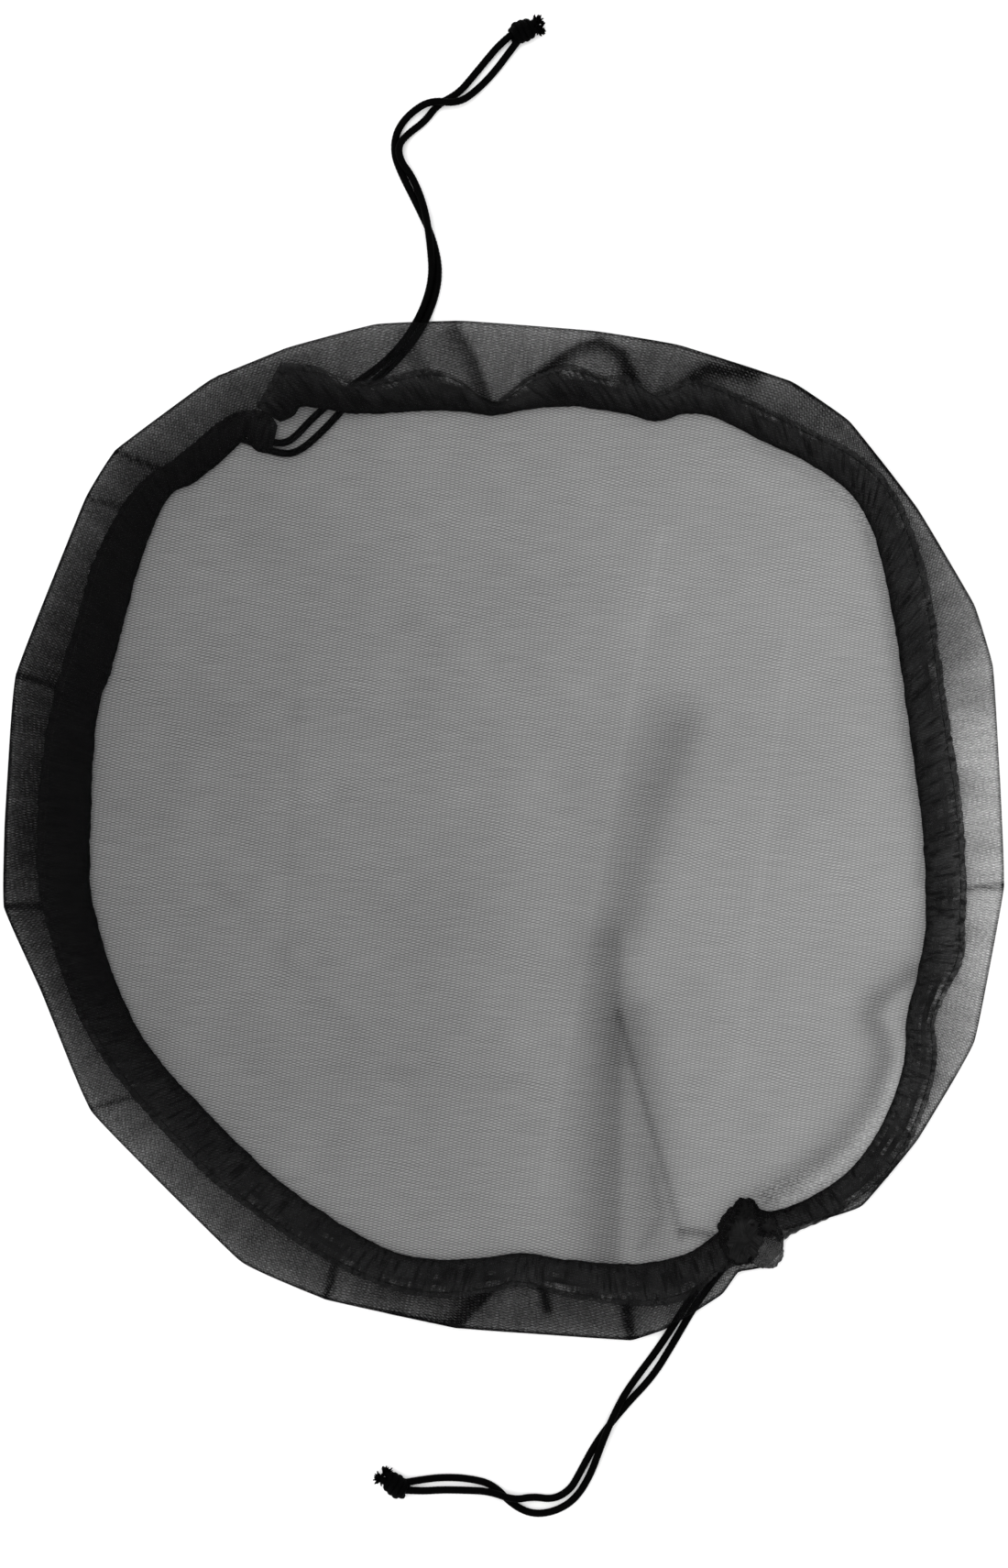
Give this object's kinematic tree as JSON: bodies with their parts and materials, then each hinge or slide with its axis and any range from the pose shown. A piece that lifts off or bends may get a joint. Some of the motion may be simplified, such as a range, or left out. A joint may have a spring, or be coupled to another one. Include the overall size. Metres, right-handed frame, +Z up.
{
  "type": "beekeeping veil",
  "caption": "Round black net hood, turned under at its rim into two gathered hem casings, each with a doubled drawcord that ends in a knot.",
  "frame": {"origin": "on the floor, in the middle of the net as it lies flat with its mouth down", "axes": "+Z up through the crown; +Y towards the side where the top cord comes out; +X to the right of that"},
  "size_m": [0.4519, 0.6741, 0.012],
  "materials": {
    "net": "sheer hexagonal polyester net",
    "casing": "gathered net, several layers deep, matt",
    "cord": "braided polyester cord, slight sheen",
    "thread": "spun polyester sewing thread"
  },
  "bodies": {
    "root": {"crown_net": "net", "skirt_net": "net", "casing_right": "casing", "casing_left": "casing", "hem_thread_right": "thread", "hem_thread_left": "thread", "drawcord_right": "cord", "drawcord_left": "cord", "fold_tack_right": "thread", "fold_tack_left": "thread", "end_tack_right": "thread", "end_tack_left": "thread"},
    "top_tail": {"top_strand_outer": "cord", "top_strand_inner": "cord", "top_knot": "cord", "top_cut_ends": "cord"},
    "bottom_tail": {"bottom_strand_outer": "cord", "bottom_strand_inner": "cord", "bottom_knot": "cord", "bottom_cut_ends": "cord"}
  },
  "joints": [
    {"name": "top_draw", "type": "slide", "parent": "root", "child": "top_tail", "axis": [0.766, 0.6428, 0], "range_m": [0, 0.025]},
    {"name": "bottom_draw", "type": "slide", "parent": "root", "child": "bottom_tail", "axis": [-0.6561, -0.7547, 0], "range_m": [0, 0.025]}
  ]
}
